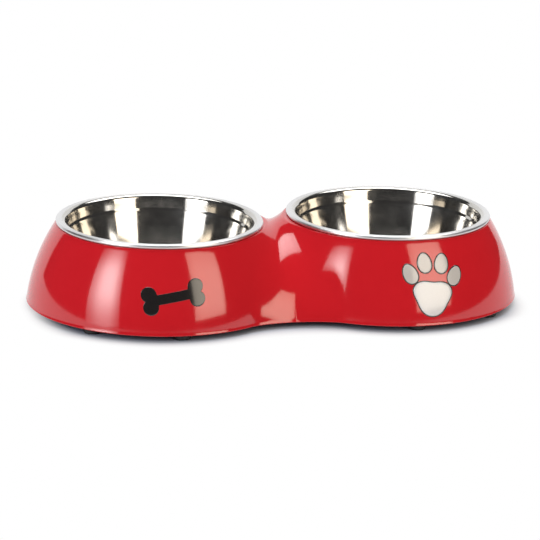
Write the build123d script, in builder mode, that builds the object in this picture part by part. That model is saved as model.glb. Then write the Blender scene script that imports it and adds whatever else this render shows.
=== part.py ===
"""Double pet bowl: a moulded base of two joined bells, two drawn steel bowls and eight rubber feet.

Frame: millimetres, +Z up, the floor at z = 0, the origin midway between the bowls.
The bowls stand side by side along X, and the front of the stand faces -Y.
"""

import os
from math import asin, atan2, cos, hypot, pi, radians, sin, sqrt, tan

from build123d import *

# Steel bowls
rim_radius = 67.0  # outermost reach of the rolled rim
rim_gap = 18.6  # between the rims of the two bowls
roll_radius = 1.3  # of the rolled rim's section
roll_turn = 250.0  # degrees that the sheet is rolled through
rim_flat = 1.9  # width of the level band between the roll and the shoulder
shoulder_radius = 3.0  # from the top of the rim down into the neck
neck_depth = 8.5  # from the crest of the rim to the foot of the neck
neck_taper = 10.0  # degrees
step_inset = 0.9  # of the wall's top from the foot of the neck
step_drop = 1.6
step_round = 1.5
wall_taper = 16.0  # degrees
corner_radius = 14.0  # between the wall and the floor of a bowl
underside_height = 14.9  # of a bowl's underside above the floor
sheet = 0.7

# Base moulding
lip_height = 54.5  # of the ledge that carries the rims, above the floor
rim_overhang = 0.1  # of a rim over the ledge's outer edge
edge_height = 3.5  # of the bottom edge above the floor
base_flare = 18.6  # of a bell's bottom edge beyond the rim
side_bulge = 3.1  # of a bell's side over the straight line from ledge to edge
waist_inset = 19.5  # of the waist between the bells from their widest line
saddle_rise_share = 0.885  # of the way from the bells' crossing up to the ledge
saddle_power = 2.3  # of the blend between the bells on top: the more, the softer its ends
waist_power = 1.4  # the same at the floor
lip_round = 1.0
wall = 3.2
seat_gap = 0.2  # between a rolled rim and the ledge
opening_clearance = 1.0  # around a bowl's neck at its widest

# Rubber feet and the moulded posts that carry them
foot_radius = 5.6
foot_round = 1.0
foot_swing = 43.0  # degrees from the front or back foot to the one nearer the end
stem_radius = 3.6
stem_length = 8.0
stem_clearance = 0.1
post_margin = 0.9  # of a post around its foot
post_merge = 2.3  # by which a post runs into the wall at the bottom edge
post_cap = 4.4  # of solid post above a stem

# Modelling
overrun = 1.0  # by which a cutting shape passes the face that it cuts
outer_slices = 14  # upright slices around the open side of a bell
saddle_slices = 11  # upright slices across a bell's half of the saddle
lip_steps = 4  # along the rounding of the lip in one slice
skin_steps = 13  # down the skin of one slice
bisection_steps = 60

# Sizes that follow
bowl_pitch = 2 * rim_radius + rim_gap
half_pitch = bowl_pitch / 2
neck_radius = rim_radius - roll_radius - rim_flat - shoulder_radius
rim_height = lip_height + seat_gap + 2 * roll_radius
opening_radius = neck_radius + sheet + opening_clearance
core_radius = opening_radius - overrun
lip_radius = rim_radius - rim_overhang
base_radius = rim_radius + base_flare
waist_half_width = base_radius - waist_inset
post_radius = foot_radius + post_margin
post_height = stem_length + stem_clearance + post_cap
foot_reach = base_radius - wall + post_merge - post_radius

# The side of a bell is one arc from the ledge to the bottom edge
side_height = lip_height - edge_height
side_spread = base_radius - lip_radius
side_chord = hypot(side_spread, side_height)
side_radius = side_chord**2 / (8 * side_bulge) + side_bulge / 2
side_lean = (side_radius - side_bulge) / side_chord
side_centre_reach = (base_radius + lip_radius) / 2 - side_lean * side_height
side_centre_height = (lip_height + edge_height) / 2 - side_lean * side_spread


def bell_radius(height, inset):
    """Radius at a height of a bell's skin, or of one that lies inset within it."""
    return side_centre_reach + sqrt((side_radius - inset) ** 2 - (height - side_centre_height) ** 2)


def bell_height(reach, inset):
    """Height of that skin at a reach from the bell's axis."""
    return side_centre_height + sqrt((side_radius - inset) ** 2 - (reach - side_centre_reach) ** 2)


crossing_height = bell_height(min(half_pitch, base_radius), 0)
saddle_height = crossing_height + saddle_rise_share * (lip_height - crossing_height)
saddle_dip = half_pitch - bell_radius(saddle_height, 0)
waist_dip = hypot(half_pitch, waist_half_width) - base_radius


def merged_radius(x, y):
    """Smooth minimum of the distances to the two axes: the bells blend where these differ by less than a width.

    Midway between the axes the distance drops by a dip. The dip grows from the saddle to the waist, and the ends
    of the blend get tighter.
    """
    spread = min(abs(y) / waist_half_width, 1) ** 2
    power = saddle_power + (waist_power - saddle_power) * spread
    dip = saddle_dip + (waist_dip - saddle_dip) * spread
    width = 2 * power * dip
    near = hypot(abs(x) - half_pitch, y)
    far = hypot(abs(x) + half_pitch, y)
    overlap = max(width - (far - near), 0) / width
    return near - dip * overlap**power


def solve(function, target, low, high):
    """Argument at which a rising function reaches the target, by bisection."""
    for _ in range(bisection_steps):
        middle = (low + high) / 2
        if function(middle) < target:
            low = middle
        else:
            high = middle
    return (low + high) / 2


def ray_radius(angle, reach):
    """Merged radius at a reach from the right bell's axis, at an angle from its outer end."""
    return merged_radius(half_pitch + reach * cos(angle), reach * sin(angle))


def ray_reach(angle, target):
    """Reach from the right bell's axis at which the merged radius has the target value."""
    middle_share = max(-cos(angle), half_pitch / bowl_pitch)
    return solve(lambda reach: ray_radius(angle, reach), target, 0, (half_pitch + overrun) / middle_share)


def even_shares(steps):
    """Shares of a stretch that is cut into equal steps, both ends included."""
    return [step / steps for step in range(steps + 1)]


def slice_section(angle, inset, top, core, to_middle):
    """Section of one upright slice of the right bell: the rounded lip, the skin, and lines round the rest."""
    low = edge_height - overrun
    slope = asin((top - lip_round - side_centre_height) / (side_radius - inset - lip_round))
    upright = asin((low - side_centre_height) / (side_radius - inset))
    lip_centre = bell_radius(top - lip_round, inset + lip_round)
    lip_shares = even_shares(lip_steps)
    turns = [pi / 2 + (slope - pi / 2) * share for share in lip_shares]
    lip = [
        (ray_reach(angle, lip_centre + lip_round * cos(turn)), top + lip_round * (sin(turn) - 1))
        for turn in turns
    ]
    start = lip[-1][0]
    stop = ray_reach(angle, bell_radius(low, inset))
    if to_middle:
        stop = (half_pitch + overrun) / -cos(angle)
    skin_shares = even_shares(skin_steps)
    bends = [cos(slope + (upright - slope) * share) for share in skin_shares]
    reaches = [start + (stop - start) * (bend - bends[0]) / (bends[-1] - bends[0]) for bend in bends]
    skin = [(reach, bell_height(ray_radius(angle, reach), inset)) for reach in reaches]
    skin[0] = lip[-1]
    slice_plane = Plane(
        origin=(half_pitch, 0, 0),
        x_dir=(cos(angle), sin(angle), 0),
        z_dir=(sin(angle), -cos(angle), 0),
    )
    with BuildSketch(slice_plane) as section:
        with BuildLine():
            add(Edge.make_spline(lip, parameters=lip_shares))
            add(Edge.make_spline(skin, parameters=skin_shares))
            Polyline(skin[-1], (stop, low - overrun), (core, low - overrun), (core, top), lip[0])
        make_face()
    return section.sketch


def add_bells(inset, top, core):
    """Add both bells and their saddle: a quarter, lofted from slices and mirrored twice.

    The slices stand round the right bell's axis. Those towards its open side reach below the bottom edge,
    and those towards the other bell reach past the middle of the saddle, where the quarter is cut.
    """
    low_radius = bell_radius(edge_height - overrun, inset)
    corner_y = solve(lambda y: merged_radius(overrun, y), low_radius, 0, base_radius)
    corner_angle = atan2(corner_y, -half_pitch - overrun)
    outer_angles = [corner_angle * share for share in even_shares(outer_slices - 1)]
    saddle_angles = [corner_angle + (pi - corner_angle) * share for share in even_shares(saddle_slices - 1)]
    loft([slice_section(angle, inset, top, core, False) for angle in outer_angles])
    loft([slice_section(angle, inset, top, core, True) for angle in saddle_angles])
    split(bisect_by=Plane.YZ, keep=Keep.TOP)
    mirror(about=Plane.XZ)
    mirror(about=Plane.YZ)


# Four feet to a bell: at the front, at the back, and nearer the end beside each of these
foot_places = {}
for side, side_sign in (("left", -1), ("right", 1)):
    for depth, depth_sign in (("front", -1), ("back", 1)):
        for suffix, swing in (("", 0), ("_outer", radians(foot_swing))):
            foot_places[f"foot_{side}_{depth}{suffix}"] = (
                side_sign * (half_pitch + foot_reach * sin(swing)),
                depth_sign * foot_reach * cos(swing),
            )

os.makedirs("parts", exist_ok=True)

# The hollow of the base, in which the posts are left standing
with BuildPart() as hollow:
    add_bells(wall, lip_height - wall, core_radius - overrun)
    with BuildSketch():
        with Locations(*foot_places.values()):
            Circle(post_radius)
    extrude(amount=edge_height + post_height, mode=Mode.SUBTRACT)

# Base moulding, with an opening for each bowl and a blind hole for each foot's stem
with BuildPart() as base_shell:
    add_bells(0, lip_height, core_radius)
    split(bisect_by=Plane.XY.offset(edge_height), keep=Keep.TOP)
    add(hollow.part, mode=Mode.SUBTRACT)
    with BuildSketch(Plane.XY.offset(lip_height + overrun)):
        with Locations((-half_pitch, 0), (half_pitch, 0)):
            Circle(opening_radius)
    extrude(amount=-(wall + 2 * overrun), mode=Mode.SUBTRACT)
    with BuildSketch(Plane.XY.offset(edge_height)):
        with Locations(*foot_places.values()):
            Circle(stem_radius + stem_clearance)
    extrude(amount=stem_length + stem_clearance, mode=Mode.SUBTRACT)
base_shell.part.label = "base_shell"
export_step(base_shell.part, "parts/base_shell.step")


def bowl_section(centre):
    """Section of a bowl: the sheet from the middle of the floor up to the end of the rolled rim."""
    floor = underside_height + sheet
    wall_top = rim_height - neck_depth - step_drop
    neck_foot_reach = neck_radius - neck_depth * tan(radians(neck_taper))
    wall_reach = neck_foot_reach - step_inset
    wall_foot_reach = wall_reach - (wall_top - floor) * tan(radians(wall_taper))
    roll_start = (rim_radius - roll_radius, rim_height)
    with BuildSketch(Plane(origin=(centre, 0, 0), x_dir=(1, 0, 0), z_dir=(0, -1, 0))) as section:
        with BuildLine():
            FilletPolyline(
                (0, floor),
                (wall_foot_reach, floor),
                (wall_reach, wall_top),
                (neck_foot_reach, rim_height - neck_depth),
                (neck_radius, rim_height),
                roll_start,
                radius=[corner_radius, step_round, step_round, shoulder_radius],
            )
            JernArc(start=roll_start, tangent=(1, 0), radius=roll_radius, arc_size=-roll_turn)
            offset(amount=sheet, side=Side.RIGHT)
        make_face()
    return section.sketch


# Steel bowls
for name, centre in (("bowl_left", -half_pitch), ("bowl_right", half_pitch)):
    with BuildPart() as bowl:
        revolve(bowl_section(centre), axis=Axis((centre, 0, 0), (0, 0, 1)))
    bowl.part.label = name
    export_step(bowl.part, f"parts/{name}.step")

# Rubber feet: a disc under the post and a stem in its hole
for name, place in foot_places.items():
    with BuildPart() as foot:
        with BuildSketch():
            with Locations(place):
                Circle(foot_radius)
        extrude(amount=edge_height)
        fillet(foot.edges().group_by(Axis.Z)[0], radius=foot_round)
        with BuildSketch(Plane.XY.offset(edge_height)):
            with Locations(place):
                Circle(stem_radius)
        extrude(amount=stem_length)
    foot.part.label = name
    export_step(foot.part, f"parts/{name}.step")
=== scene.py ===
"""Looks of a double pet bowl: a glossy red moulded stand, two steel bowls, rubber feet and two small prints.

Sizes in the classes are millimetres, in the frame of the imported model: +Z up, the floor at z = 0, the
bowls side by side along X and the front towards -Y. Meshes are written in metres.
"""

import logging
from dataclasses import dataclass, field
from enum import Enum

import bpy
import numpy as np
from bpy.types import Light, Material, Node, NodeOutputs, NodeSocket, NodeTree, Object
from mathutils import Matrix, Vector


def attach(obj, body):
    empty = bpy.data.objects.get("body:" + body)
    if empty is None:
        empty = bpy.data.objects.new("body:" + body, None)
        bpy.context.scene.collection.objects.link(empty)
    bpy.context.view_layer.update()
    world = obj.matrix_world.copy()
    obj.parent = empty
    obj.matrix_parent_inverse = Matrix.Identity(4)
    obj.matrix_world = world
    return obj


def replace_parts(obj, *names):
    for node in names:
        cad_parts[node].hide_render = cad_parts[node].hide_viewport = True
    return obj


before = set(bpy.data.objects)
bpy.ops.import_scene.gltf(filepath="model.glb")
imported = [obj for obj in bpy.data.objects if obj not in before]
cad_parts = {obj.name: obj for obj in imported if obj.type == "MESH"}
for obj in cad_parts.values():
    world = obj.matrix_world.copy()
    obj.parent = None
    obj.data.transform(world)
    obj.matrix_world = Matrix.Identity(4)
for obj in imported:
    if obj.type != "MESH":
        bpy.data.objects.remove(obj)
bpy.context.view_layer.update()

MM = 0.001
TINY = 1e-9
NOISE_SPREAD = (0.3, 0.7)  # most of a noise texture's values lie between these
Array = np.ndarray
Pair = tuple[float, float]
Triple = tuple[float, float, float]
Quad = tuple[float, float, float, float]
log = logging.getLogger("double_pet_bowl")


def linear(hex_colour: str) -> Quad:
    """Turn an sRGB hex colour into linear light.

    Args:
        hex_colour: six hex digits after a hash sign.

    Returns:
        Linear red, green, blue and an alpha of one.
    """
    share = np.array([int(hex_colour[i : i + 2], 16) for i in (1, 3, 5)]) / 255
    light = np.where(share <= 0.04045, share / 12.92, ((share + 0.055) / 1.055) ** 2.4)
    return (*light.tolist(), 1.0)


def add_node(tree: NodeTree, kind: str, inputs: dict | None = None, **settings: object) -> Node:
    """Add a shader node, set its properties and fill its inputs.

    Args:
        tree: the node tree that takes the node.
        kind: the node's Blender type name, after the word ShaderNode.
        inputs: values by input name or number; a socket or a node's first output is linked, anything else is set.
        settings: properties of the node.

    Returns:
        The new node.
    """
    node = tree.nodes.new("ShaderNode" + kind)
    for name, value in settings.items():
        setattr(node, name, value)
    for key, value in (inputs or {}).items():
        source = value.outputs[0] if isinstance(value, Node) else value
        if isinstance(source, NodeSocket):
            tree.links.new(source, node.inputs[key])
        else:
            node.inputs[key].default_value = source
    return node


def new_tree(name: str) -> tuple[Material, NodeTree]:
    """Make a material with an empty node tree.

    Args:
        name: the material's name.

    Returns:
        The material and its node tree.
    """
    material = bpy.data.materials.new(name)
    material.use_nodes = True
    material.node_tree.nodes.clear()
    return material, material.node_tree


class Slot(Enum):
    """Material slots of the record, one for each finish."""

    MOULDING = "red_moulding"
    STEEL = "stainless_steel"
    RUBBER = "black_rubber"


class Body(Enum):
    """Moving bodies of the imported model."""

    BASE = "base"
    LEFT_BOWL = "left_bowl"
    RIGHT_BOWL = "right_bowl"


@dataclass(frozen=True)
class CloudedFinish:
    """A finish whose colour and gloss wander in clouds, over bumps that lie one on the other.

    Attributes:
        title: the material's name.
        tones: its colours where the clouds are thin and where they are thick.
        ior: its index of refraction.
        roughness: its roughness there, with both values the same where it is even.
        cloud: size of the clouds in millimetres, and the detail and the roughness of their noise.
        bumps: size in millimetres, detail of the noise and height in millimetres of each bump, the longest first.
    """

    title: str
    tones: tuple[str, str]
    ior: float
    roughness: Pair
    cloud: Triple
    bumps: tuple[Triple, ...] = ()

    def material(self) -> Material:
        """Mix the tones and the roughness by the clouds, and stack the bumps.

        Returns:
            The material.
        """
        material, tree = new_tree(self.title)
        place = add_node(tree, "TexCoord").outputs["Object"]
        size, detail, grit = self.cloud
        cloud = add_node(
            tree, "TexNoise", {"Vector": place, "Scale": 1 / (size * MM), "Detail": detail, "Roughness": grit}
        )
        thin, thick = map(linear, self.tones)
        tint = add_node(tree, "Mix", {0: cloud, 6: thin, 7: thick}, data_type="RGBA")
        (start, stop), (low, high) = NOISE_SPREAD, self.roughness
        haze = low if low == high else add_node(
            tree, "MapRange", {"Value": cloud, "From Min": start, "From Max": stop, "To Min": low, "To Max": high}
        )
        normal = {}
        for size, detail, height in self.bumps:
            noise = add_node(tree, "TexNoise", {"Vector": place, "Scale": 1 / (size * MM), "Detail": detail})
            bump = {"Height": noise, "Strength": 1.0, "Distance": height * MM, **normal}
            normal = {"Normal": add_node(tree, "Bump", bump)}
        shader = add_node(
            tree, "BsdfPrincipled", {"Base Color": tint.outputs[2], "Roughness": haze, "IOR": self.ior, **normal}
        )
        add_node(tree, "OutputMaterial", {"Surface": shader})
        return material


@dataclass(frozen=True)
class RedMelamine(CloudedFinish):
    """Compression-moulded melamine in a glossy red.

    The mould's polish gives sharp reflections with a faint long wave and a fine peel in them, and the pressed
    powder gives a colour that wanders by a few parts in a hundred.
    """

    title: str = "Red melamine, compression moulded"
    tones: tuple[str, str] = ("#c81a24", "#d01e28")
    ior: float = 1.65
    roughness: Pair = (0.065, 0.1)
    cloud: Triple = (24.0, 4.0, 0.6)
    bumps: tuple[Triple, ...] = ((30.0, 1.0, 0.012), (1.6, 1.0, 0.0006))


@dataclass(frozen=True)
class BlackRubber(CloudedFinish):
    """Moulded black rubber: dull, with a fine grain and a little grey bloom."""

    title: str = "Black rubber, moulded"
    tones: tuple[str, str] = ("#161617", "#242425")
    ior: float = 1.52
    roughness: Pair = (0.62, 0.62)
    cloud: Triple = (4.0, 3.0, 0.5)
    bumps: tuple[Triple, ...] = ((0.5, 2.0, 0.02),)


@dataclass(frozen=True)
class PrintInk(CloudedFinish):
    """Transfer-printed ink under the moulding's own gloss: an even colour with a faint screen grain."""

    ior: float = 1.65
    roughness: Pair = (0.11, 0.11)
    cloud: Triple = (0.9, 2.0, 0.5)


@dataclass(frozen=True)
class TurnedSteel:
    """Drawn stainless steel, polished while it turned, with a satin rim.

    The wheel leaves fine rings round the bowl, which draw reflections out up and down the wall, and the drawn
    sheet has a faint wave that bends their edges. The rings are finer than a pixel, so they are drawn a little
    coarser than they are. A thin film from handling lies on the metal in patches and gives a haze.
    """

    colour: str = "#d3d1cd"
    worn_colour: str = "#b9b5ae"
    roughness: Pair = (0.08, 0.13)
    anisotropy: float = 0.75
    quarter_turn: float = 0.25
    ring_mm: float = 0.7
    ring_height_mm: float = 0.0009
    wave_mm: float = 14.0
    wave_height_mm: float = 0.03
    patch_mm: float = 9.0
    rim_colour: str = "#e4e4e5"
    rim_added_roughness: float = 0.26
    film_spread: Pair = (0.35, 0.65)
    film_weight: Pair = (0.1, 0.9)
    film_ior: float = 1.6
    film_roughness: float = 0.4

    def material(self) -> Material:
        """Lay rings along the attribute run_mm and patches of film, and leave the rim satin by rim_share.

        Returns:
            The material.
        """
        material, tree = new_tree("Stainless steel, drawn and turned")
        place = add_node(tree, "TexCoord").outputs["Object"]
        run, rim = (
            add_node(tree, "Attribute", attribute_name=name, attribute_type="GEOMETRY").outputs["Fac"]
            for name in ("run_mm", "rim_share")
        )
        rings = add_node(
            tree, "TexNoise", {"W": run, "Scale": 1 / self.ring_mm, "Detail": 3.0, "Roughness": 0.7},
            noise_dimensions="1D",
        )
        patches, wave = (
            add_node(tree, "TexNoise", {"Vector": place, "Scale": 1 / (size * MM), "Detail": detail, "Roughness": grit})
            for size, detail, grit in ((self.patch_mm, 3.0, 0.6), (self.wave_mm, 1.0, 0.5))
        )
        tint = add_node(tree, "Mix", {0: rings, 6: linear(self.worn_colour), 7: linear(self.colour)}, data_type="RGBA")
        metal = add_node(tree, "Mix", {0: rim, 6: tint.outputs[2], 7: linear(self.rim_colour)}, data_type="RGBA")
        haze, film = (
            add_node(
                tree, "MapRange",
                {"Value": patches, "From Min": start, "From Max": stop, "To Min": low, "To Max": high},
            )
            for (start, stop), (low, high) in ((NOISE_SPREAD, self.roughness), (self.film_spread, self.film_weight))
        )
        satin = add_node(tree, "Math", {0: rim, 1: self.rim_added_roughness, 2: haze}, operation="MULTIPLY_ADD")
        bare = add_node(tree, "MapRange", {"Value": rim, "To Min": film, "To Max": 0.0})
        slow = add_node(tree, "Bump", {"Height": wave, "Strength": 1.0, "Distance": self.wave_height_mm * MM})
        fine = add_node(
            tree, "Bump", {"Height": rings, "Strength": 1.0, "Distance": self.ring_height_mm * MM, "Normal": slow}
        )
        round_axis = add_node(tree, "Tangent", direction_type="RADIAL", axis="Z")
        shader = add_node(
            tree, "BsdfPrincipled",
            {"Base Color": metal.outputs[2], "Metallic": 1.0, "Roughness": satin,
             "Anisotropic": self.anisotropy, "Anisotropic Rotation": self.quarter_turn,
             "Coat Weight": bare, "Coat Roughness": self.film_roughness, "Coat IOR": self.film_ior,
             "Normal": fine, "Tangent": round_axis},
        )
        add_node(tree, "OutputMaterial", {"Surface": shader})
        return material


@dataclass
class Shell:
    """Points in millimetres and the faces between them, gathered before they become one mesh."""

    points: Array = field(default_factory=lambda: np.zeros((0, 3)))
    faces: list[Array] = field(default_factory=list)

    def add(self, points: Array, *faces: Array) -> None:
        """Add points and the faces that join them, numbered from the first of these points."""
        self.faces += [part + len(self.points) for part in faces]
        self.points = np.vstack([self.points, points])

    def weld(self) -> None:
        """Make one point of those that lie within a thousandth of a micrometre of one another."""
        _, first, same = np.unique(self.points.round(6), axis=0, return_index=True, return_inverse=True)
        self.points = self.points[first]
        self.faces = [same.reshape(-1)[part] for part in self.faces]

    def build(self, name: str, material: Material, body: Body, slot: Slot | None) -> Object:
        """Write the mesh in metres, shade it smooth and let it ride on a body.

        Args:
            name: the piece's name.
            material: its finish.
            body: the body that it moves with.
            slot: the record's slot that it takes its finish from, if it has one; not used.

        Returns:
            The new object, at the origin with its place in its mesh.
        """
        used, compact = np.unique(np.concatenate([part.ravel() for part in self.faces]), return_inverse=True)
        polygons, start = [], 0
        for part in self.faces:
            polygons += compact[start : start + part.size].reshape(part.shape).tolist()
            start += part.size
        mesh = bpy.data.meshes.new(name)
        mesh.from_pydata((self.points[used] * MM).tolist(), [], polygons)
        mesh.polygons.foreach_set("use_smooth", np.ones(len(mesh.polygons), bool))
        mesh.materials.append(material)
        mesh.validate()
        mesh.update()
        piece = bpy.data.objects.new(name, mesh)
        bpy.context.scene.collection.objects.link(piece)
        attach(piece, body.value)
        log.info("%s: %d points, %d faces", name, len(mesh.vertices), len(mesh.polygons))
        return piece


def ring_faces(columns: int, rows: int, closed_rows: bool) -> Array:
    """Quads of a grid of columns round an axis by rows along a path.

    A point's number is its column times the rows plus its row. Faces look to the right of the path when the
    columns run counterclockwise.

    Args:
        columns: how many columns stand round the axis.
        rows: how many points each column's path has.
        closed_rows: whether the path's last point joins its first.

    Returns:
        The quads, as columns x strips x 4.
    """
    column, row = np.meshgrid(np.arange(columns), np.arange(rows if closed_rows else rows - 1), indexing="ij")
    beside, after = (column + 1) % columns, (row + 1) % rows
    return np.stack([column * rows + row, column * rows + after, beside * rows + after, beside * rows + row], axis=-1)


def capped(grid: Array, poles: Array) -> tuple[Array, list[Array]]:
    """Close a grid of columns round an axis with a fan at either end of its rows.

    Args:
        grid: the points, as columns x rows x 3, with the outside on the right of the rows' path.
        poles: the point before the first row and the point after the last.

    Returns:
        The points, and the quads and the two fans.
    """
    columns, rows, _ = grid.shape
    column = np.arange(columns)
    beside = (column + 1) % columns
    pole = np.full(columns, columns * rows)
    first = np.stack([pole, column * rows, beside * rows], axis=1)
    last = np.stack([pole + 1, (beside + 1) * rows - 1, (column + 1) * rows - 1], axis=1)
    return np.vstack([grid.reshape(-1, 3), poles]), [ring_faces(columns, rows, False).reshape(-1, 4), first, last]


def arc(centre: Pair, radius: float, start: float, stop: float, steps: int) -> Array:
    """Points on an arc from one angle to another, in degrees, as reach and height."""
    turn = np.radians(np.linspace(start, stop, steps + 1))
    return np.array(centre) + radius * np.stack([np.cos(turn), np.sin(turn)], axis=1)


def turned(profile: Array, centre: Pair, segments: int) -> tuple[Array, list[Array]]:
    """Carry a profile once round an upright axis.

    Each point at reach r and height z becomes a ring of points (r cos t, r sin t, z). The profile starts and ends
    on the axis, where the ring is one point closed with a fan.

    Args:
        profile: reach and height of each point, from axis to axis, with the outside on its right.
        centre: the axis's place in plan.
        segments: how many columns the ring has.

    Returns:
        The points, and the quads and the two fans.
    """
    turn = np.linspace(0, 2 * np.pi, segments, endpoint=False)[:, None]
    reach, height = profile[1:-1].T
    rings = np.broadcast_arrays(centre[0] + np.cos(turn) * reach, centre[1] + np.sin(turn) * reach, height)
    poles = np.array([[*centre, profile[0, 1]], [*centre, profile[-1, 1]]])
    return capped(np.stack(rings, axis=-1), poles)


@dataclass(frozen=True)
class BellSkin:
    """The outer skin of two bells that flow into one another.

    A bell's side is one arc from the ledge to the bottom edge, turned about the bell's axis. Between the bells the
    distance to the nearer axis is replaced by a smooth minimum of both distances, so the skin dips in a saddle and
    draws in to a waist at the floor.
    """

    half_pitch: float = 76.3
    lip_height: float = 54.5
    lip_radius: float = 66.9
    lip_round: float = 1.0
    edge_height: float = 3.5
    base_radius: float = 85.6
    side_bulge: float = 3.1
    waist_half_width: float = 66.1
    saddle_rise_share: float = 0.885
    saddle_power: float = 2.3
    waist_power: float = 1.4
    halvings: int = 50
    slope_step: float = 1e-4
    least_rise: float = 1e-6

    @property
    def side(self) -> Triple:
        """The side's arc, from its chord and its bulge.

        Returns:
            Reach and height of the arc's centre, and its radius.
        """
        height = self.lip_height - self.edge_height
        spread = self.base_radius - self.lip_radius
        chord = np.hypot(height, spread)
        radius = chord**2 / (8 * self.side_bulge) + self.side_bulge / 2
        lean = (radius - self.side_bulge) / chord
        return (
            (self.base_radius + self.lip_radius) / 2 - lean * height,
            (self.lip_height + self.edge_height) / 2 - lean * spread,
            radius,
        )

    @property
    def waist_dip(self) -> float:
        """By how much the waist's edge lies further from either axis than a bell's own bottom edge."""
        return np.hypot(self.half_pitch, self.waist_half_width) - self.base_radius

    def radius_at(self, height: Array | float, inset: float = 0.0) -> Array:
        """Radius of a bell at a height, on the skin or at an inset within it."""
        reach, middle, radius = self.side
        return reach + np.sqrt((radius - inset) ** 2 - (np.asarray(height) - middle) ** 2)

    def height_at(self, bell_radius: Array | float) -> Array:
        """Height of a bell's skin at a radius."""
        reach, middle, radius = self.side
        return middle + np.sqrt(np.maximum(radius**2 - (np.asarray(bell_radius) - reach) ** 2, 0))

    def merged_radius(self, x: Array, y: Array) -> Array:
        """Smooth minimum of the distances to the two axes.

        With d the difference of the distances, the nearer one loses dip * (1 - d / w)^power where d is below the
        width w = 2 * power * dip. The dip grows from the saddle to the waist and the power falls.

        Args:
            x: places in plan along the stand.
            y: places in plan across it.

        Returns:
            The bell's radius that the skin has there.
        """
        crossing = self.height_at(self.half_pitch)
        saddle = crossing + self.saddle_rise_share * (self.lip_height - crossing)
        shallow = self.half_pitch - self.radius_at(saddle)
        spread = np.minimum(np.abs(y) / self.waist_half_width, 1) ** 2
        power = self.saddle_power + (self.waist_power - self.saddle_power) * spread
        dip = shallow + (self.waist_dip - shallow) * spread
        width = 2 * power * dip
        near = np.hypot(np.abs(x) - self.half_pitch, y)
        far = np.hypot(np.abs(x) + self.half_pitch, y)
        overlap = np.maximum(width - (far - near), 0) / width
        return near - dip * overlap**power

    def reach(self, angle: Array, target: Array | float) -> Array:
        """Reach from the right bell's axis at which the merged radius has a target value, by halving.

        Args:
            angle: directions in plan, in radians.
            target: the merged radius that is sought.

        Returns:
            The reach in each direction.
        """
        angle, target = np.broadcast_arrays(angle, target)
        # the search ends just past the middle plane, and on the open side at twice that reach
        low = np.zeros(angle.shape)
        high = (self.half_pitch + 1) / np.maximum(-np.cos(angle), 0.5)
        for _ in range(self.halvings):
            middle = (low + high) / 2
            x, y = self.half_pitch + middle * np.cos(angle), middle * np.sin(angle)
            below = self.merged_radius(x, y) < target
            low, high = np.where(below, middle, low), np.where(below, high, middle)
        return (low + high) / 2

    def normal(self, x: Array, y: Array) -> Array:
        """Outward normal of the skin over a place in plan, from the slope of its height.

        Args:
            x: places in plan along the stand.
            y: places in plan across it.

        Returns:
            The unit normals.
        """
        step = self.slope_step
        across = (self.merged_radius(x + step, y) - self.merged_radius(x - step, y)) / (2 * step)
        along = (self.merged_radius(x, y + step) - self.merged_radius(x, y - step)) / (2 * step)
        merged = self.merged_radius(x, y)
        reach, middle, _ = self.side
        steep = (merged - reach) / np.maximum(self.height_at(merged) - middle, self.least_rise)
        normal = np.stack([steep * across, steep * along, np.ones_like(merged)], axis=-1)
        return normal / np.linalg.norm(normal, axis=-1, keepdims=True)


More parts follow.
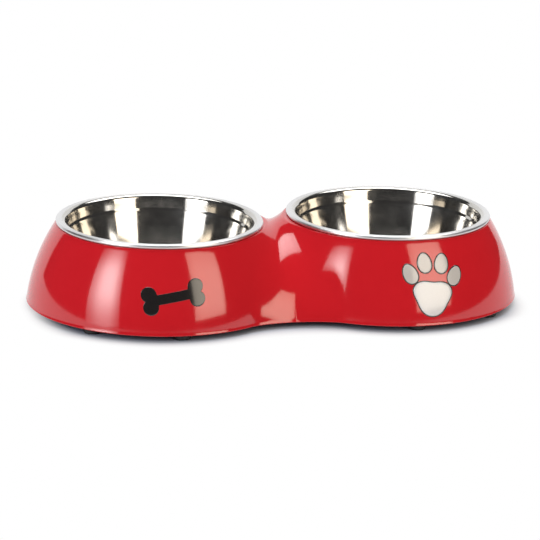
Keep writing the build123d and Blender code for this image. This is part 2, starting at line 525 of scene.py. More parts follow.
@dataclass(frozen=True)
class BaseMoulding:
    """The red stand: a hollow moulding with two ledges for the bowls and eight posts for the feet.

    Attributes:
        support: distance of the row of points that keeps a flat level beside a rounding.
        ceiling_support: the same at the sharp lower edge of an opening.
        post_clear: how far the posts end above the stand's bottom edge.
        edge_samples: how many places the search for the bottom edge's corner looks at.
    """

    skin: BellSkin = BellSkin()
    wall: float = 3.2
    opening_radius: float = 62.5
    opening_round: float = 0.4
    edge_round: float = 0.5
    bead_out: float = 0.2
    bead_height: float = 1.7
    inner_round: float = 0.4
    post_radius: float = 6.5
    post_height: float = 12.5
    post_round: float = 1.0
    post_clear: float = 0.02
    support: float = 0.2
    ceiling_support: float = 0.3
    open_columns: int = 84
    saddle_columns: int = 60
    skin_rows: int = 50
    bead_rows: int = 10
    inner_rows: int = 14
    lip_steps: int = 6
    edge_steps: int = 7
    round_steps: int = 4
    post_steps: int = 5
    post_segments: int = 40
    edge_samples: int = 200001

    def column_angles(self) -> tuple[Array, Array]:
        """Angles of the columns round the right bell.

        The columns run once round from the outer end, evenly on the open side and evenly across the saddle, and two
        of them stand where the bottom edge meets the middle of the stand.

        Returns:
            The angles, and which strips between the columns lie on the saddle.
        """
        skin = self.skin
        low = skin.radius_at(self.rounding_top())
        y = np.linspace(0, skin.base_radius, self.edge_samples)
        corner = np.arctan2(np.interp(low, skin.merged_radius(np.zeros_like(y), y), y), -skin.half_pitch)
        half = np.concatenate([
            np.linspace(0, corner, self.open_columns, endpoint=False),
            np.linspace(corner, np.pi, self.saddle_columns, endpoint=False),
        ])
        angles = np.concatenate([half, [np.pi], 2 * np.pi - half[:0:-1]])
        strip = np.arange(len(angles))
        on_saddle = (strip >= self.open_columns) & (strip < len(angles) - self.open_columns)
        return angles, on_saddle

    def rounding_top(self) -> float:
        """Height at which the skin runs into the rounding of the bottom edge."""
        _, middle, radius = self.skin.side
        return self.skin.edge_height + self.edge_round * (1 + (self.skin.edge_height - middle) / radius)

    def half_grid(self) -> tuple[Array, Array, int, int]:
        """Points of the right half as columns x rows, and its layout.

        Each column's path runs up the opening's wall, over the ledge and the lip's rounding, down the skin, round
        the bottom edge and up the inside, which is the skin moved in by the wall along its normal. Above the bottom
        edge the skin flares into a fine bead, by the square of the depth within it. On the saddle the path ends in
        the middle plane instead, and its rows round the bottom edge take no faces.

        Returns:
            The points, which strips of columns lie on the saddle, and the last row of the skin and the first of
            the inside.
        """
        skin, top, under = self.skin, self.skin.lip_height, self.skin.lip_height - self.wall
        _, middle, radius = skin.side
        angles, on_saddle = self.column_angles()
        turn = angles[:, None]

        def placed(reach: Array | float, height: Array | float) -> Array:
            """Points at a reach from the right bell's axis and a height, for every column."""
            reach, height, _ = np.broadcast_arrays(reach, height, turn)
            return np.stack([skin.half_pitch + reach * np.cos(turn), reach * np.sin(turn), height], axis=-1)

        def raised(plan: Array, height: Array) -> Array:
            """Points over places in plan, at a height."""
            return np.concatenate([plan, np.broadcast_to(height, plan.shape[:-1])[..., None]], axis=-1)

        # the opening's wall and the ledge, and the lip's rounding
        corner = (self.opening_radius + self.opening_round, top - self.opening_round)
        rim = np.vstack([
            [[self.opening_radius, under], [self.opening_radius, under + self.ceiling_support]],
            arc(corner, self.opening_round, 180, 90, self.round_steps),
            [[corner[0] + self.support, top]],
        ])
        lip_turn = np.arcsin((top - skin.lip_round - middle) / (radius - skin.lip_round))
        lip_centre = (skin.radius_at(top - skin.lip_round, skin.lip_round), top - skin.lip_round)
        lip = arc(lip_centre, skin.lip_round, 90, np.degrees(lip_turn), self.lip_steps)
        lip_reach = skin.reach(turn, lip[:, 0])

        # the skin down to the bottom edge or to the middle plane, and its bead
        low = self.rounding_top()
        low_turn, bead_turn = np.arcsin((np.array([low, low + self.bead_height]) - middle) / radius)
        bend = np.cos(np.concatenate([
            np.linspace(lip_turn, bead_turn, self.skin_rows + 1 - self.bead_rows, endpoint=False),
            np.linspace(bead_turn, low_turn, self.bead_rows),
        ]))
        share = (bend[1:] - bend[0]) / (bend[-1] - bend[0])
        start = lip_reach[:, -1:]
        end = np.minimum(skin.reach(turn, skin.radius_at(low)), skin.half_pitch / np.maximum(-np.cos(turn), TINY))
        skin_reach = start + (end - start) * share
        x, y = skin.half_pitch + skin_reach * np.cos(turn), skin_reach * np.sin(turn)
        z = skin.height_at(skin.merged_radius(x, y))
        outside = np.stack([x, y, z], axis=-1)
        sideways = skin.normal(x, y)[..., :2]
        sideways = sideways / np.maximum(np.linalg.norm(sideways, axis=-1, keepdims=True), TINY)
        flare = self.bead_out * np.clip(1 - (z - low) / self.bead_height, 0, 1) ** 2
        beaded = raised(outside[..., :2] + flare[..., None] * sideways, z)

        # round the bottom edge, across its flat and up to the inside
        foot, edge = outside[:, -1], beaded[:, -1:]
        normal = skin.normal(foot[:, 0], foot[:, 1])
        lean = np.hypot(normal[:, :1], normal[:, 1:2])
        away = (normal[:, :2] / lean)[:, None]
        first_turn = np.arctan2(normal[:, 2:], lean) + np.arctan(2 * self.bead_out / self.bead_height)
        size = (edge[..., 2] - skin.edge_height) / (1 + np.sin(first_turn))
        edge_turn = first_turn + (-np.pi / 2 - first_turn) * np.linspace(0, 1, self.edge_steps + 1)[1:]
        out = size * (np.cos(edge_turn) - np.cos(first_turn))
        rise = size * (np.sin(edge_turn) - np.sin(first_turn))
        rounding = raised(edge[..., :2] + out[..., None] * away, edge[..., 2] + rise)
        curl_centre = (self.inner_round, skin.edge_height + self.inner_round)
        curl = arc(curl_centre, self.inner_round, 270, 180, self.round_steps)
        curled = raised((foot - self.wall * normal)[:, None, :2] + curl[:, :1] * away, curl[:, 1])
        flat_out = raised(rounding[:, -1:, :2] - self.support * away, rounding[:, -1:, 2])
        flat_in = raised(curled[:, :1, :2] + self.support * away, curled[:, :1, 2])

        # the inside, up to the ceiling under the ledge
        shallow = outside[:, np.linspace(self.skin_rows - 1, 0, self.inner_rows).round().astype(int)]
        inside = shallow - self.wall * skin.normal(shallow[..., 0], shallow[..., 1])
        inside[..., 2] = np.minimum(inside[..., 2], under)
        points = np.concatenate([
            placed(rim[:, 0], rim[:, 1]), placed(lip_reach[:, :1] - self.support, top), placed(lip_reach, lip[:, 1]),
            beaded, rounding, flat_out, flat_in, curled,
            inside, placed(self.opening_radius + self.ceiling_support, under),
        ], axis=1)
        last_skin = len(rim) + len(lip) + self.skin_rows
        first_inside = points.shape[1] - 1 - self.inner_rows
        seam = slice(self.open_columns, len(angles) - self.open_columns + 1)
        points[seam, last_skin : first_inside + 1, 0] = 0.0
        return points, on_saddle, last_skin, first_inside

    def within_wall(self, points: Array) -> Array:
        """Draw points in towards their bell's axis, where they lie further out than the middle of the wall.

        Args:
            points: the points, which may stand out of the wall.

        Returns:
            The points, none beyond the middle of the wall.
        """
        axis = np.sign(points[:, :1]) * [self.skin.half_pitch, 0.0]
        away = points[:, :2] - axis
        limit = self.skin.radius_at(points[:, 2], self.wall / 2)
        share = np.minimum(limit / np.maximum(np.linalg.norm(away, axis=1), TINY), 1)
        return np.column_stack([axis + away * share[:, None], points[:, 2]])

    def post_profile(self) -> Array:
        """Profile of a post, from the middle of its lower end round to the middle of its upper one.

        Returns:
            Reach and height of each point.
        """
        foot, top = self.skin.edge_height + self.post_clear, self.skin.edge_height + self.post_height
        shoulder = (self.post_radius - self.post_round, top - self.post_round)
        return np.vstack([
            [[0.0, foot], [self.post_radius - self.support, foot], [self.post_radius, foot + self.support]],
            [[self.post_radius, shoulder[1] - self.support]],
            arc(shoulder, self.post_round, 0, 90, self.post_steps),
            [[shoulder[0] - self.support, top], [0.0, top]],
        ])

    def build(self, material: Material, foot_places: dict[str, Pair]) -> Object:
        """Build the stand from its right half and the mirror image of it, with the posts inside.

        Args:
            material: the moulding's finish.
            foot_places: the feet's places in plan by node name.

        Returns:
            The stand, which replaces the node base_shell.
        """
        points, on_saddle, last_skin, first_inside = self.half_grid()
        columns, rows, _ = points.shape
        row = np.arange(rows)
        bottom = (row >= last_skin) & (row < first_inside)
        faces = ring_faces(columns, rows, True)[~(on_saddle[:, None] & bottom[None, :])]
        flat = points.reshape(-1, 3)
        number = np.arange(len(flat))
        twin = np.where(np.abs(flat[:, 0]) < TINY, number, number + len(flat))
        shell = Shell()
        shell.add(np.vstack([flat, flat * [-1, 1, 1]]), faces, twin[faces][:, ::-1])
        for place in foot_places.values():
            post_points, post_faces = turned(self.post_profile(), place, self.post_segments)
            shell.add(self.within_wall(post_points), *post_faces)
        piece = shell.build("stand", material, Body.BASE, Slot.MOULDING)
        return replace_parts(piece, "base_shell")


@dataclass(frozen=True)
class SteelBowl:
    """A bowl drawn from one sheet, with a rolled rim that hangs on the stand's ledge.

    Attributes:
        rim_blend: length over which the satin of the rim fades into the polished wall.
        floor_rows: shares of the floor at its first and last row of points, and how many there are.
        bend_steps: facets on the bends at the floor, below and above the step, and at the shoulder.
        row_length: shortest distance between rows on a straight run that is split.
    """

    node: str
    body: Body
    centre: float
    rim_radius: float = 67.0
    roll_radius: float = 1.3
    roll_turn: float = 250.0
    rim_flat: float = 1.9
    shoulder_radius: float = 3.0
    rim_height: float = 57.3
    neck_depth: float = 8.5
    neck_taper: float = 10.0
    step_inset: float = 0.9
    step_drop: float = 1.6
    step_round: float = 1.5
    wall_taper: float = 16.0
    corner_radius: float = 14.0
    floor_height: float = 15.6
    sheet: float = 0.7
    rim_blend: float = 1.5
    floor_rows: tuple[float, float, int] = (0.07, 0.665, 12)
    bend_steps: tuple[int, int, int, int] = (18, 5, 5, 14)
    roll_steps: int = 26
    row_length: float = 2.5
    segments: int = 224

    def inner_path(self) -> Array:
        """Food side of the sheet, from the middle of the floor up to the end of the rolled rim.

        Straight runs joined by tangent arcs: at a corner with a turn of t, the arc starts r tan(t / 2) before it.

        Returns:
            Reach and height of each point.
        """
        neck = self.rim_radius - self.roll_radius - self.rim_flat - self.shoulder_radius
        neck_foot = neck - self.neck_depth * np.tan(np.radians(self.neck_taper))
        wall_top = self.rim_height - self.neck_depth - self.step_drop
        wall_reach = neck_foot - self.step_inset
        wall_foot = wall_reach - (wall_top - self.floor_height) * np.tan(np.radians(self.wall_taper))
        corners = np.array([
            [0.0, self.floor_height],
            [wall_foot, self.floor_height],
            [wall_reach, wall_top],
            [neck_foot, self.rim_height - self.neck_depth],
            [neck, self.rim_height],
            [self.rim_radius - self.roll_radius, self.rim_height],
        ])
        radii = (self.corner_radius, self.step_round, self.step_round, self.shoulder_radius)
        run = np.diff(corners, axis=0)
        along = run / np.linalg.norm(run, axis=1, keepdims=True)
        parts = [corners[:1], np.outer(np.linspace(*self.floor_rows), [wall_foot, 0]) + corners[:1]]
        for corner, before, after, radius, count in zip(corners[1:-1], along[:-1], along[1:], radii, self.bend_steps):
            turn = np.arctan2(before[0] * after[1] - before[1] * after[0], before @ after)
            side = np.sign(turn) * np.array([-before[1], before[0]])
            first = corner - before * radius * np.tan(abs(turn) / 2)
            angles = np.arctan2(-side[1], -side[0]) + turn * np.linspace(0, 1, count + 1)
            bend = first + radius * side + radius * np.stack([np.cos(angles), np.sin(angles)], axis=1)
            gap = bend[0] - parts[-1][-1]
            pieces = max(int(np.linalg.norm(gap) / self.row_length), 1)
            parts += [parts[-1][-1] + np.outer(np.arange(1, pieces) / pieces, gap), bend]
        roll_centre = (self.rim_radius - self.roll_radius, self.rim_height - self.roll_radius)
        return np.vstack([*parts, arc(roll_centre, self.roll_radius, 90, 90 - self.roll_turn, self.roll_steps)])

    def profile(self) -> tuple[Array, Array]:
        """Closed profile of the sheet: the outer side is the inner one moved by the sheet's thickness to its right.

        Returns:
            Reach and height of each point, and the running length there from the middle of the floor.
        """
        inner = self.inner_path()
        ahead = np.gradient(inner, axis=0)
        ahead[0] = [1.0, 0.0]
        ahead /= np.linalg.norm(ahead, axis=1, keepdims=True)
        outer = inner + self.sheet * np.stack([ahead[:, 1], -ahead[:, 0]], axis=1)
        outer[0, 0] = 0.0
        run = np.concatenate([[0.0], np.cumsum(np.linalg.norm(np.diff(inner, axis=0), axis=1))])
        return np.vstack([outer, inner[::-1]]), np.concatenate([run, run[::-1]])

    def build(self, material: Material) -> Object:
        """Build the bowl, with its running length and the rim's share as attributes.

        Args:
            material: the steel's finish.

        Returns:
            The bowl, which replaces its node.
        """
        profile, run = self.profile()
        points, faces = turned(profile, (self.centre, 0.0), self.segments)
        shell = Shell()
        shell.add(points, *faces)
        piece = shell.build(self.node.replace("bowl_", "steel_bowl_"), material, self.body, Slot.STEEL)
        lengths = np.concatenate([np.tile(run[1:-1], self.segments), [run[0], run[-1]]])
        rim_start = run.max() - np.radians(self.roll_turn) * self.roll_radius - self.rim_flat
        shares = np.clip((lengths - rim_start) / self.rim_blend + 1, 0, 1)
        for name, values in (("run_mm", lengths), ("rim_share", shares)):
            attribute = piece.data.attributes.new(name, "FLOAT", "POINT")
            attribute.data.foreach_set("value", values.astype(np.float32))
        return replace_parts(piece, self.node)


@dataclass(frozen=True)
class RubberFeet:
    """Eight feet: a disc with a rounded lower edge and a stem that plugs into its post.

    Attributes:
        reach: distance of a foot from its bell's axis.
        swing: turn of the outer feet from the middle ones, in degrees.
        clear: gap between the disc and the stand.
        support: distance of the row of points beside a rounding or a corner.
    """

    skin: BellSkin = BellSkin()
    reach: float = 78.2
    swing: float = 43.0
    radius: float = 5.6
    height: float = 3.5
    lower_round: float = 1.0
    upper_round: float = 0.35
    stem_radius: float = 3.6
    stem_length: float = 8.0
    stem_chamfer: float = 0.3
    clear: float = 0.02
    support: float = 0.2
    lower_steps: int = 8
    upper_steps: int = 4
    segments: int = 64

    def places(self) -> dict[str, Pair]:
        """Place of each foot in plan: at the front, at the back, and nearer the end beside each.

        Returns:
            The places by node name.
        """
        found = {}
        for side, side_sign in (("left", -1), ("right", 1)):
            for depth, depth_sign in (("front", -1), ("back", 1)):
                for suffix, swing in (("", 0.0), ("_outer", np.radians(self.swing))):
                    found[f"foot_{side}_{depth}{suffix}"] = (
                        side_sign * (self.skin.half_pitch + self.reach * np.sin(swing)),
                        depth_sign * self.reach * np.cos(swing),
                    )
        return found

    def profile(self) -> Array:
        """Profile from the middle of the underside round the disc to the top of the stem.

        Returns:
            Reach and height of each point.
        """
        top, end = self.height - self.clear, self.height + self.stem_length
        return np.vstack([
            [[0.0, 0.0], [self.radius - self.lower_round - self.support, 0.0]],
            arc((self.radius - self.lower_round, self.lower_round), self.lower_round, -90, 0, self.lower_steps),
            arc((self.radius - self.upper_round, top - self.upper_round), self.upper_round, 0, 90, self.upper_steps),
            [[self.stem_radius + self.support, top], [self.stem_radius, top + self.support]],
            [[self.stem_radius, end - self.stem_chamfer], [self.stem_radius - self.stem_chamfer, end], [0.0, end]],
        ])

    def build(self, material: Material) -> list[Object]:
        """Build the feet.

        Args:
            material: the rubber's finish.

        Returns:
            The feet, each of which replaces its node.
        """
        pieces = []
        for node, place in self.places().items():
            points, faces = turned(self.profile(), place, self.segments)
            shell = Shell()
            shell.add(points, *faces)
            piece = shell.build(f"rubber_{node}", material, Body.BASE, Slot.RUBBER)
            pieces.append(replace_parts(piece, node))
        return pieces


@dataclass(frozen=True)
class SkinPrint:
    """A print on the side of one bell, wrapped on it with its lengths kept.

    Attributes:
        side_sign: which bell it lies on, -1 for the left one.
        turn: direction of its middle from the bell's axis, in degrees.
        arc_angle: place of its middle on the side's arc, in degrees.
        tilt: its turn in its own plane, in degrees.
        lift: how far its upper sheet lies above the skin.
        depth: distance between its two sheets.
    """

    side_sign: int
    turn: float
    arc_angle: float
    tilt: float = 0.0
    lift: float = 0.05
    depth: float = 0.09
    skin: BellSkin = BellSkin()

    def wrap(self, flat: Array, lift: float) -> Array:
        """Lay points of the print's plane on the bell.

        A point at u along the bell and v up its side lies at the arc angle psi0 + v / R and the turn phi0 + u / r,
        with R the side arc's radius and r the bell's radius there.

        Args:
            flat: the points in the plane, in millimetres.
            lift: how far above the skin they lie.

        Returns:
            The points in space.
        """
        lean = np.radians(self.tilt)
        u = flat[..., 0] * np.cos(lean) - flat[..., 1] * np.sin(lean)
        v = flat[..., 0] * np.sin(lean) + flat[..., 1] * np.cos(lean)
        reach, middle, radius = self.skin.side
        psi = np.radians(self.arc_angle) + v / radius
        bell = reach + radius * np.cos(psi)
        phi = np.radians(self.turn) + u / bell
        out = bell + lift * np.cos(psi)
        x = self.side_sign * self.skin.half_pitch + out * np.cos(phi)
        return np.stack([x, out * np.sin(phi), middle + radius * np.sin(psi) + lift * np.sin(psi)], axis=-1)

    def patch(self, shell: Shell, grid: Array, open_edge: Array) -> None:
        """Add a thin patch over a grid of points that runs along u and then along v.

        The upper sheet lies on the skin, the lower one just in it, and a band joins their edges.

        Args:
            shell: what the patch is added to.
            grid: the points in the print's plane.
            open_edge: which points of the grid lie on an edge that another patch goes on from, without a band.
        """
        number = np.arange(grid[..., 0].size).reshape(grid.shape[:2])
        points = np.vstack([self.wrap(grid, lift).reshape(-1, 3) for lift in (self.lift, self.lift - self.depth)])
        upper = np.stack([number[:-1, :-1], number[1:, :-1], number[1:, 1:], number[:-1, 1:]], axis=-1).reshape(-1, 4)
        edge = np.concatenate([number[:, 0], number[-1, 1:], number[-2::-1, -1], number[0, -2:0:-1]])
        following = np.roll(edge, -1)
        band = np.stack([edge, edge + number.size, following + number.size, following], axis=1)
        joined = open_edge.ravel()[edge] & open_edge.ravel()[following]
        shell.add(points, upper, upper[:, ::-1] + number.size, band[~joined])

    def disc(self, shell: Shell, outline: Array, centre: Pair, rings: int) -> None:
        """Add a thin closed disc, as rings that shrink from its outline to its centre.

        Args:
            shell: what the disc is added to.
            outline: the closed outline in the print's plane.
            centre: the point that the rings shrink to.
            rings: how many rings each sheet has.
        """
        low, middle = self.lift - self.depth, np.array(centre)
        share = np.linspace(1, 0, rings + 1)[:-1, None]
        sheet = middle + share * (outline - middle)[:, None, :]
        grid = np.concatenate([self.wrap(sheet[:, ::-1], low), self.wrap(sheet, self.lift)], axis=1)
        points, faces = capped(grid, np.stack([self.wrap(middle, low), self.wrap(middle, self.lift)]))
        shell.add(points, *faces)

    def ring(self, shell: Shell, inner: Array, outer: Array) -> None:
        """Add a thin closed line between two closed outlines.

        Args:
            shell: what the line is added to.
            inner: the inner outline in the print's plane.
            outer: the outer one, with as many points.
        """
        low, high = self.lift - self.depth, self.lift
        loop = [(inner, low), (outer, low), (outer, high), ((inner + outer) / 2, high), (inner, high)]
        points = np.stack([self.wrap(outline, lift) for outline, lift in loop], axis=1)
        shell.add(points.reshape(-1, 3), ring_faces(len(inner), len(loop), True).reshape(-1, 4))


def oval(centre: Pair, half: Pair, tilt: float, pinch: float, count: int = 72) -> Array:
    """Closed outline of a tilted oval that narrows upwards: x is scaled by 1 - pinch sin t.

    Args:
        centre: its middle.
        half: half its width and half its height.
        tilt: its turn in degrees.
        pinch: how much it narrows.
        count: how many points it has.

    Returns:
        The points, counterclockwise.
    """
    turn = np.linspace(0, 2 * np.pi, count, endpoint=False)
    flat = np.stack([half[0] * np.cos(turn) * (1 - pinch * np.sin(turn)), half[1] * np.sin(turn)], axis=1)
    lean = np.radians(tilt)
    spin = np.array([[np.cos(lean), np.sin(lean)], [-np.sin(lean), np.cos(lean)]])
    return np.array(centre) + flat @ spin


def grown(outline: Array, width: float) -> Array:
    """Move a counterclockwise outline outwards along its normals.

    Args:
        outline: the closed outline.
        width: how far it moves.

    Returns:
        The larger outline.
    """
    ahead = np.roll(outline, -1, axis=0) - np.roll(outline, 1, axis=0)
    ahead /= np.linalg.norm(ahead, axis=1, keepdims=True)
    return outline + width * np.stack([ahead[:, 1], -ahead[:, 0]], axis=1)


@dataclass(frozen=True)
class PawPrint:
    """A paw in white and light grey with a dark line round each pad, for the right bell."""

    place: SkinPrint = SkinPrint(1, -83.0, 20.1, tilt=-6.0)
    line_width: float = 0.75
    pad_radius: float = 11.2
    pad_lobe: float = 1.5
    pad_lean: float = 1.3
    pad_stretch: Pair = (1.12, 0.95)
    pad_centre: Pair = (0.0, -8.0)
    pad_points: int = 120
    toe_half: Pair = (4.5, 6.3)
    toe_pinch: float = 0.14
    outer_toe: Triple = (15.2, 4.6, 24.0)
    inner_toe: Triple = (5.8, 12.4, 7.0)
    rings: int = 10

    def pads(self) -> list[tuple[Array, Pair]]:
        """The pads, the large one first and then the toes from left to right.

        The large pad is a circle whose radius swells by three soft lobes, radius + lobe cos(3 (t + 90 degrees))
        - lean sin t, stretched across and up.

        Returns:
            Outline and centre of each pad.
        """
        turn = np.linspace(0, 2 * np.pi, self.pad_points, endpoint=False)
        radius = self.pad_radius + self.pad_lobe * np.cos(3 * (turn + np.pi / 2)) - self.pad_lean * np.sin(turn)
        flat = radius[:, None] * np.stack([np.cos(turn), np.sin(turn)], axis=1)
        found = [(flat * self.pad_stretch + self.pad_centre, self.pad_centre)]
        for sign, (across, up, lean) in (
            (-1, self.outer_toe), (-1, self.inner_toe), (1, self.inner_toe), (1, self.outer_toe)
        ):
            centre = (sign * across, up)
            found.append((oval(centre, self.toe_half, -sign * lean, self.toe_pinch), centre))
        return found

    def build(self, white: Material, grey: Material, dark: Material) -> None:
        """Build the white pad, the grey toes and the dark lines as three prints on the stand.

        Args:
            white: ink of the large pad.
            grey: ink of the toes.
            dark: ink of the lines.
        """
        pad, toes, lines = Shell(), Shell(), Shell()
        for number, (outline, centre) in enumerate(self.pads()):
            self.place.disc(toes if number else pad, outline, centre, self.rings)
            self.place.ring(lines, outline, grown(outline, self.line_width))
        pad.build("print_paw_pad", white, Body.BASE, None)
        toes.build("print_paw_toes", grey, Body.BASE, None)
        lines.build("print_paw_lines", dark, Body.BASE, None)


@dataclass(frozen=True)
class BonePrint:
    """A plain black bone for the left bell.

    Attributes:
        soft: size of the rounding where the shaft meets a knob.
        tip_gap: how far the outermost column of points stays within the knob's circle.
    """

    place: SkinPrint = SkinPrint(-1, -94.5, 18.8, tilt=10.0)
    half_length: float = 15.0
    knob_radius: float = 5.0
    knob_offset: float = 4.0
    shaft_half_width: float = 3.2
    soft: float = 0.6
    tip_gap: float = 0.001
    columns: int = 161
    rows: int = 13

    def build(self, dark: Material) -> None:
        """Build the bone from an upper and a lower half.

        At each u the half reaches from the notch between the knobs, or the middle line, up to the larger of the
        shaft's half width and the knob's circle, with a soft maximum where they meet.

        Args:
            dark: the bone's ink.
        """
        reach = self.half_length + self.knob_radius - self.tip_gap
        u = reach * np.sin(np.linspace(-np.pi / 2, np.pi / 2, self.columns))
        inside = np.maximum(self.knob_radius**2 - (np.abs(u) - self.half_length) ** 2, 0)
        circle = np.sqrt(inside)
        knob = np.where(inside > 0, self.knob_offset + circle, 0)
        blend = self.soft * np.log(np.exp(knob / self.soft) + np.exp(self.shaft_half_width / self.soft))
        high = np.where(np.abs(u) < self.half_length, blend, knob)
        low = np.where(np.abs(u) > self.half_length, np.maximum(self.knob_offset - circle, 0), 0)
        v = low[:, None] + (high - low)[:, None] * np.linspace(0, 1, self.rows)
        grid = np.stack([np.broadcast_to(u[:, None], v.shape), v], axis=-1)
        middle_line = grid[..., 1] < TINY
        shell = Shell()
        self.place.patch(shell, grid, middle_line)
        self.place.patch(shell, (grid * [1, -1])[:, ::-1], middle_line[:, ::-1])
        shell.weld()
        shell.build("print_bone", dark, Body.BASE, None)


@dataclass(frozen=True)
class Softbox:
    """A studio lamp with a rectangular face, which may dim towards its edges.

    Attributes:
        radiance: brightness of its face, where one is the white of a sheet in plain light.
        centre: its middle, in metres.
        facing: the direction that its face looks in.
        size: width and height of its face, in metres.
        roll: turn of the face about that direction, in degrees.
        edge: brightness at the edges as a share of the middle's.
        fades: shares of the face, from the left, right, lower and upper edge, over which it dims.
        colour: colour of the light.
    """

    name: str
    radiance: float
    centre: Triple
    facing: Triple
    size: Pair
    roll: float = 0.0
    edge: float = 1.0
    fades: Quad = (0.1, 0.1, 0.1, 0.1)
    colour: str = "#ffffff"

    def shade(self, lamp: Light) -> None:
        """Dim the face: the product of four smooth steps from the edge's share to one, one step for each edge.

        Args:
            lamp: the lamp whose face is dimmed.
        """
        lamp.use_nodes = True
        tree = lamp.node_tree
        tree.nodes.clear()
        face = add_node(tree, "SeparateXYZ", {"Vector": add_node(tree, "NewGeometry").outputs["Parametric"]}).outputs
        left, right, lower, upper = self.fades
        level = 1.0
        for axis, start, stop in (("X", 0, left), ("X", 1, 1 - right), ("Y", 0, lower), ("Y", 1, 1 - upper)):
            step = add_node(
                tree, "MapRange",
                {"Value": face[axis], "From Min": start, "From Max": stop, "To Min": self.edge, "To Max": 1.0},
                interpolation_type="SMOOTHSTEP",
            )
            level = add_node(tree, "Math", {0: level, 1: step}, operation="MULTIPLY")
        light = add_node(tree, "Emission", {"Color": linear(self.colour), "Strength": level})
        add_node(tree, "OutputLight", {"Surface": light})

    def build(self) -> None:
        """Add the lamp; its power is pi times its face's area and brightness."""
        lamp = bpy.data.lights.new(self.name, "AREA")
        lamp.shape = "RECTANGLE"
        lamp.size, lamp.size_y = self.size
        lamp.energy = np.pi * self.size[0] * self.size[1] * self.radiance
        self.shade(lamp)
        holder = bpy.data.objects.new(self.name, lamp)
        aim = Vector(self.facing).to_track_quat("-Z", "Y").to_matrix().to_4x4()
        spin = Matrix.Rotation(np.radians(self.roll), 4, "Z")
        holder.matrix_world = Matrix.Translation(self.centre) @ aim @ spin
        holder.visible_camera = False
        bpy.context.scene.collection.objects.link(holder)
        log.info("lamp %s at %s", self.name, self.centre)


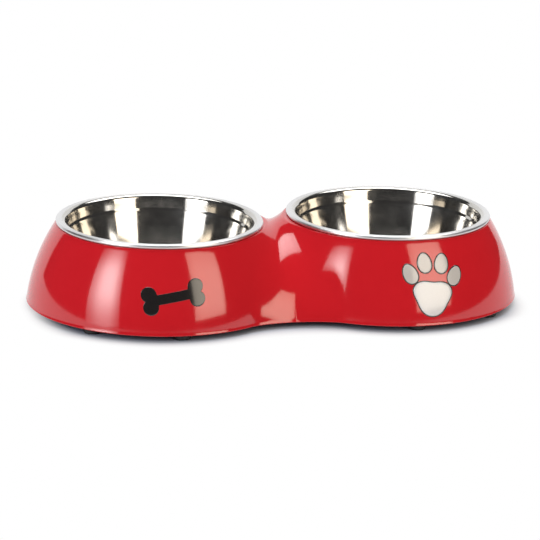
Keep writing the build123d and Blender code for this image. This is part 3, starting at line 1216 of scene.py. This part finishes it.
@dataclass(frozen=True)
class Studio:
    """Pale floor, white backdrop, soft lamps and the camera, with lengths in metres.

    Attributes:
        lens: the camera's focal length, in millimetres.
        sensor: width of its sensor, in millimetres.
        clear_of_object: distances from the stand's outline between which the floor's glow grows and the shadow
            painted on it fades.
        clear_behind: from which depth to which the glow and the painted shadow's edge move nearer to the outline,
            and by how much.
        backdrop_ends: its left and right end.
        backdrop_heights: its heights there.
        room_level: brightness of the room.
    """

    azimuth: float = -13.423
    elevation: float = 15.749
    roll: float = 1.503
    distance: float = 1.969639
    target: Triple = (-0.002201, 0.0, 0.019699)
    lens: float = 200.698
    sensor: float = 36.0
    clip_end: float = 50.0
    floor_half: float = 4.0
    board_colour: str = "#e3e5ea"
    # painted shadow: the card's darker blue-grey near the stand's outline, which stands in for its shadow on the floor
    painted_shadow_colour: str = "#97a5b9"
    clear_of_object: Pair = (-0.004, 0.015)
    clear_behind: Triple = (-0.060, -0.010, 0.009)
    backdrop_distance: float = 2.7
    backdrop_ends: Pair = (-2.3, 3.1)
    backdrop_heights: Pair = (1.5, 2.8)
    backdrop_foot: float = 0.001
    room_level: float = 0.045
    skin: BellSkin = BellSkin()

    def lamps(self) -> list[Softbox]:
        """The lamps, as the reflections on the bells and in the bowls place them.

        Returns:
            A tall one at the left, a broad one at the right front, and one overhead behind.
        """
        return [
            Softbox(
                "softbox_left", 9.0, (-0.920, -0.449, 0.449), (0.755, 0.655, -0.014), (0.52, 0.92),
                roll=6.8, edge=0.3, fades=(0.55, 0.3, 0.42, 0.45),
            ),
            Softbox(
                "softbox_right", 4.3, (0.556, -0.814, 0.480), (-0.159, 0.922, -0.353), (0.633, 0.770),
                roll=3.2, edge=0.8, fades=(0.2, 0.2, 0.2, 0.4), colour="#fff1dc",
            ),
            Softbox(
                "softbox_over", 5.0, (0.162, 0.353, 1.0), (0.0, 0.0, -1.0), (1.30, 0.614),
                edge=0.8, fades=(0.3, 0.3, 0.3, 0.3),
            ),
        ]

    def build_camera(self) -> None:
        """Place the camera by its azimuth and elevation about the target, rolled about its own axis."""
        a, e, k = np.radians([self.azimuth, self.elevation, self.roll])
        back = Vector((np.sin(a) * np.cos(e), -np.cos(a) * np.cos(e), np.sin(e)))
        right = Vector((np.cos(a), np.sin(a), 0.0))
        up = Vector((-np.sin(a) * np.sin(e), np.cos(a) * np.sin(e), np.cos(e)))
        axes = (right * np.cos(k) + up * np.sin(k), up * np.cos(k) - right * np.sin(k), back)
        data = bpy.data.cameras.new("camera")
        data.lens, data.sensor_width, data.clip_end = self.lens, self.sensor, self.clip_end
        camera = bpy.data.objects.new("camera", data)
        place = Matrix.Translation(Vector(self.target) + self.distance * back)
        camera.matrix_world = place @ Matrix(axes).transposed().to_4x4()
        bpy.context.scene.collection.objects.link(camera)
        bpy.context.scene.camera = camera

    def outline_distance(self, tree: NodeTree, place: NodeOutputs) -> Node:
        """Distance of a place on the floor from the stand's outline, in metres.

        It is the skin's merged radius less that of the bottom edge. The blend between the bells has the dip and the
        power of the waist, which hold everywhere outside the outline.

        Args:
            tree: the node tree that the formula is added to.
            place: the sockets of the place's X, Y and Z.

        Returns:
            The node that gives the distance.
        """
        skin, dip = self.skin, float(self.skin.waist_dip * MM)
        across = add_node(tree, "Math", {0: place["X"]}, operation="ABSOLUTE")
        reaches = []
        for shift in (-skin.half_pitch * MM, skin.half_pitch * MM):
            beside = add_node(tree, "Math", {0: across, 1: shift}, operation="ADD")
            plan = add_node(tree, "CombineXYZ", {"X": beside, "Y": place["Y"], "Z": place["Z"]})
            reaches.append(add_node(tree, "VectorMath", {0: plan}, operation="LENGTH").outputs["Value"])
        near, far = reaches
        gap = add_node(tree, "Math", {0: far, 1: near}, operation="SUBTRACT")
        overlap = add_node(tree, "MapRange", {"Value": gap, "From Min": 2 * skin.waist_power * dip, "From Max": 0.0})
        drop = add_node(tree, "Math", {0: overlap, 1: skin.waist_power}, operation="POWER")
        edge = add_node(tree, "Math", {0: drop, 1: dip, 2: skin.base_radius * MM}, operation="MULTIPLY_ADD")
        return add_node(tree, "Math", {0: near, 1: edge}, operation="SUBTRACT")

    def board(self, name: str, corners: list[Triple]) -> None:
        """Add a board of matt card that glows white to the camera and in reflections, clear of the object.

        Near the object the card shows the light that falls on it, with the object's real shadow, and is also
        painted a darker cool grey there, a painted shadow. The glow grows and the painted shadow fades between two
        distances from the stand's outline. The overhead lamp stands behind the object, so from its front to its
        middle the glow and the painted shadow's edge move nearer to the outline.

        Args:
            name: the board's name.
            corners: its four corners, in metres.
        """
        mesh = bpy.data.meshes.new(name)
        mesh.from_pydata(corners, [], [(0, 1, 2, 3)])
        material, tree = new_tree(f"White card with painted shadow, matt, {name}")
        (start, full), (front, middle, nearer) = self.clear_of_object, self.clear_behind
        place = add_node(tree, "SeparateXYZ", {"Vector": add_node(tree, "TexCoord").outputs["Object"]}).outputs
        behind = add_node(
            tree, "MapRange",
            {"Value": place["Y"], "From Min": front, "From Max": middle, "To Min": 0.0, "To Max": nearer},
        )
        distance = add_node(tree, "Math", {0: self.outline_distance(tree, place), 1: behind}, operation="ADD")
        clear = add_node(
            tree, "MapRange", {"Value": distance, "From Min": start, "From Max": full}, interpolation_type="SMOOTHSTEP"
        )
        # painted shadow: the card's colour goes from the darker blue-grey near the outline to the board's colour clear
        # of it
        colour = add_node(
            tree, "Mix", {0: clear, 6: linear(self.painted_shadow_colour), 7: linear(self.board_colour)}, data_type="RGBA"
        )
        card = add_node(tree, "BsdfDiffuse", {"Color": colour.outputs[2]})
        glow = add_node(tree, "Emission", {"Color": (1, 1, 1, 1), "Strength": 1.0})
        path = add_node(tree, "LightPath").outputs
        seen = path["Is Camera Ray"]
        for ray in ("Is Glossy Ray", "Is Transmission Ray"):
            seen = add_node(tree, "Math", {0: seen, 1: path[ray]}, operation="MAXIMUM")
        part = add_node(tree, "Math", {0: seen, 1: clear}, operation="MULTIPLY")
        both = add_node(tree, "MixShader", {0: part, 1: card, 2: glow})
        add_node(tree, "OutputMaterial", {"Surface": both})
        mesh.materials.append(material)
        board = bpy.data.objects.new(name, mesh)
        bpy.context.scene.collection.objects.link(board)

    def build_boards(self) -> None:
        """Add a broad level floor, and an upright backdrop well behind the object, higher at the right."""
        half, back, foot = self.floor_half, self.backdrop_distance, self.backdrop_foot
        (left, right), (left_height, right_height) = self.backdrop_ends, self.backdrop_heights
        self.board("floor", [(-half, -half, 0), (half, -half, 0), (half, half, 0), (-half, half, 0)])
        self.board(
            "backdrop",
            [(left, back, foot), (right, back, foot), (right, back, right_height), (left, back, left_height)],
        )

    def build_world(self) -> None:
        """Add a dim grey room."""
        world = bpy.data.worlds.new("studio")
        bpy.context.scene.world = world
        world.use_nodes = True
        tree = world.node_tree
        tree.nodes.clear()
        light = add_node(tree, "Background", {"Color": (1, 1, 1, 1), "Strength": self.room_level})
        add_node(tree, "OutputWorld", {"Surface": light})

    def build(self) -> None:
        """Build the camera, the floor, the backdrop, the room and the lamps."""
        self.build_camera()
        self.build_boards()
        self.build_world()
        for lamp in self.lamps():
            lamp.build()
        bpy.context.scene.view_settings.view_transform = "Standard"


def main() -> None:
    """Build the pieces in order, then the studio."""
    logging.basicConfig(level=logging.INFO, format="%(name)s %(message)s")
    half_pitch = BellSkin().half_pitch
    steel = TurnedSteel().material()
    white = PrintInk("White ink, transfer printed", ("#e4e4e6", "#dddddf")).material()
    grey = PrintInk("Light grey ink, transfer printed", ("#cac7c5", "#c0bdbb")).material()
    dark = PrintInk("Black ink, transfer printed", ("#1b1919", "#262324")).material()
    feet = RubberFeet()
    BaseMoulding().build(RedMelamine().material(), feet.places())
    SteelBowl("bowl_left", Body.LEFT_BOWL, -half_pitch).build(steel)
    SteelBowl("bowl_right", Body.RIGHT_BOWL, half_pitch).build(steel)
    feet.build(BlackRubber().material())
    PawPrint().build(white, grey, dark)
    BonePrint().build(dark)
    Studio().build()


if __name__ == "__main__":
    main()
